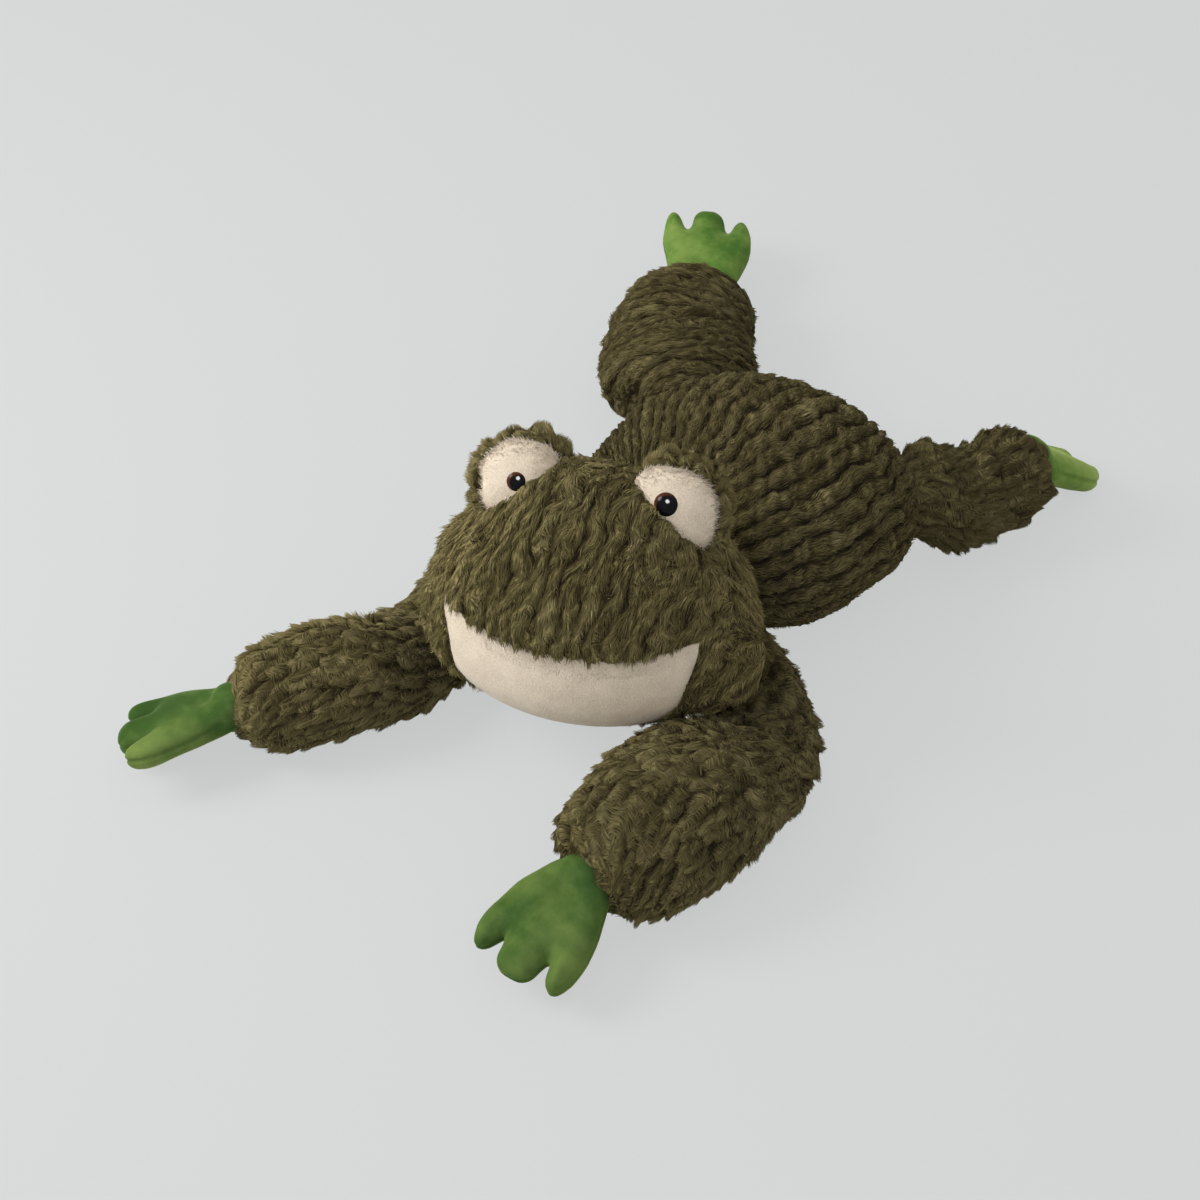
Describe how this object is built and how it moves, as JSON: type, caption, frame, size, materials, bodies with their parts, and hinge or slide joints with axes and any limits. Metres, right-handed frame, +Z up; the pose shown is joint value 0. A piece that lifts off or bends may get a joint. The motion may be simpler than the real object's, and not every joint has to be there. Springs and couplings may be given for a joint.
{
  "type": "plush frog",
  "caption": "Soft frog toy lying on its belly with splayed limbs, large head, raised eye mounds and three-toed velour hands and feet; limbs and head turn at their seams.",
  "frame": {"origin": "on the floor at the middle of the belly's resting face", "axes": "-Y from the rump to the head, +Y to the rump, +Z up, +X to the frog's left"},
  "size_m": [0.3567, 0.4944, 0.147],
  "materials": {
    "body_skin": "long ribbed pile",
    "head_skin": "long ribbed pile",
    "body_filling": "loose fibre",
    "head_filling": "loose fibre",
    "bean_pouch": "woven cotton bag of pellets",
    "neck_thread": "thread",
    "chin_panel": "short smooth pile",
    "eye_hood_right": "long ribbed pile",
    "eye_patch_right": "short pile",
    "eye_stuffing_right": "loose fibre",
    "eye_right": "gloss",
    "eye_washer_right": "matte",
    "arm_right_sleeve": "long ribbed pile",
    "leg_right_sleeve": "long ribbed pile",
    "leg_right_thread": "thread",
    "arm_right_filling": "loose fibre",
    "leg_right_filling": "loose fibre",
    "hand_right_filling": "loose fibre",
    "foot_right_filling": "loose fibre",
    "hand_right_top": "velour",
    "hand_right_sole": "velour",
    "foot_right_top": "velour",
    "foot_right_sole": "velour",
    "eye_hood_left": "long ribbed pile",
    "eye_patch_left": "short pile",
    "eye_stuffing_left": "loose fibre",
    "eye_left": "gloss",
    "eye_washer_left": "matte",
    "arm_left_sleeve": "long ribbed pile",
    "leg_left_sleeve": "long ribbed pile",
    "leg_left_thread": "thread",
    "arm_left_filling": "loose fibre",
    "leg_left_filling": "loose fibre",
    "hand_left_filling": "loose fibre",
    "foot_left_filling": "loose fibre",
    "hand_left_top": "velour",
    "hand_left_sole": "velour",
    "foot_left_top": "velour",
    "foot_left_sole": "velour"
  },
  "bodies": {
    "torso": {"body_skin": "body_skin", "body_filling": "body_filling", "bean_pouch": "bean_pouch"},
    "neck_seam": {"neck_thread": "neck_thread"},
    "head": {"head_skin": "head_skin", "chin_panel": "chin_panel", "head_filling": "head_filling", "eye_hood_right": "eye_hood_right", "eye_patch_right": "eye_patch_right", "eye_stuffing_right": "eye_stuffing_right", "eye_right": "eye_right", "eye_washer_right": "eye_washer_right", "eye_hood_left": "eye_hood_left", "eye_patch_left": "eye_patch_left", "eye_stuffing_left": "eye_stuffing_left", "eye_left": "eye_left", "eye_washer_left": "eye_washer_left"},
    "arm_right": {"arm_right_sleeve": "arm_right_sleeve", "arm_right_filling": "arm_right_filling"},
    "hand_right": {"hand_right_top": "hand_right_top", "hand_right_sole": "hand_right_sole", "hand_right_filling": "hand_right_filling"},
    "hip_seam_right": {"leg_right_thread": "leg_right_thread"},
    "leg_right": {"leg_right_sleeve": "leg_right_sleeve", "leg_right_filling": "leg_right_filling"},
    "foot_right": {"foot_right_top": "foot_right_top", "foot_right_sole": "foot_right_sole", "foot_right_filling": "foot_right_filling"},
    "arm_left": {"arm_left_sleeve": "arm_left_sleeve", "arm_left_filling": "arm_left_filling"},
    "hand_left": {"hand_left_top": "hand_left_top", "hand_left_sole": "hand_left_sole", "hand_left_filling": "hand_left_filling"},
    "hip_seam_left": {"leg_left_thread": "leg_left_thread"},
    "leg_left": {"leg_left_sleeve": "leg_left_sleeve", "leg_left_filling": "leg_left_filling"},
    "foot_left": {"foot_left_top": "foot_left_top", "foot_left_sole": "foot_left_sole", "foot_left_filling": "foot_left_filling"}
  },
  "joints": [
    {"name": "neck_turn", "type": "hinge", "parent": "torso", "child": "neck_seam", "pos_m": [0.009, -0.06, 0.048], "axis": [0, 0, 1], "range_deg": [-12, 2.5]},
    {"name": "neck_nod", "type": "hinge", "parent": "neck_seam", "child": "head", "pos_m": [0.009, -0.06, 0.048], "axis": [-0.8192, -0.5736, 0], "range_deg": [0, 20]},
    {"name": "shoulder_right", "type": "hinge", "parent": "torso", "child": "arm_right", "pos_m": [-0.0553, -0.05704, 0.02], "axis": [0, 0, -1], "range_deg": [0, 25]},
    {"name": "shoulder_left", "type": "hinge", "parent": "torso", "child": "arm_left", "pos_m": [0.05056, -0.0558, 0.02], "axis": [0, 0, 1], "range_deg": [-1, 25]},
    {"name": "wrist_right", "type": "hinge", "parent": "arm_right", "child": "hand_right", "pos_m": [-0.07275, -0.26168, 0.02502], "axis": [-0.7786, 0.5094, -0.3664], "range_deg": [-4, 40]},
    {"name": "wrist_left", "type": "hinge", "parent": "arm_left", "child": "hand_left", "pos_m": [0.11295, -0.209, 0.02734], "axis": [-0.9823, -0.1874, 0], "range_deg": [-10, 40]},
    {"name": "hip_swing_right", "type": "hinge", "parent": "torso", "child": "hip_seam_right", "pos_m": [-0.07742, 0.03108, 0.04], "axis": [0, 0, -1], "range_deg": [-35, 8]},
    {"name": "hip_lift_right", "type": "hinge", "parent": "hip_seam_right", "child": "leg_right", "pos_m": [-0.07742, 0.03108, 0.04], "axis": [0.7599, 0.65, 0], "range_deg": [0, 20]},
    {"name": "hip_swing_left", "type": "hinge", "parent": "torso", "child": "hip_seam_left", "pos_m": [0.05135, 0.0666, 0.04], "axis": [0, 0, 1], "range_deg": [-25, 15]},
    {"name": "hip_lift_left", "type": "hinge", "parent": "hip_seam_left", "child": "leg_left", "pos_m": [0.05135, 0.0666, 0.04], "axis": [0.9626, -0.2709, 0], "range_deg": [0, 20]},
    {"name": "ankle_right", "type": "hinge", "parent": "leg_right", "child": "foot_right", "pos_m": [-0.15394, 0.12053, 0.02466], "axis": [0.7155, 0.6986, 0], "range_deg": [-20, 40]},
    {"name": "ankle_left", "type": "hinge", "parent": "leg_left", "child": "foot_left", "pos_m": [0.06989, 0.13248, 0.03762], "axis": [0.9468, 0.3217, 0], "range_deg": [0, 40]}
  ]
}
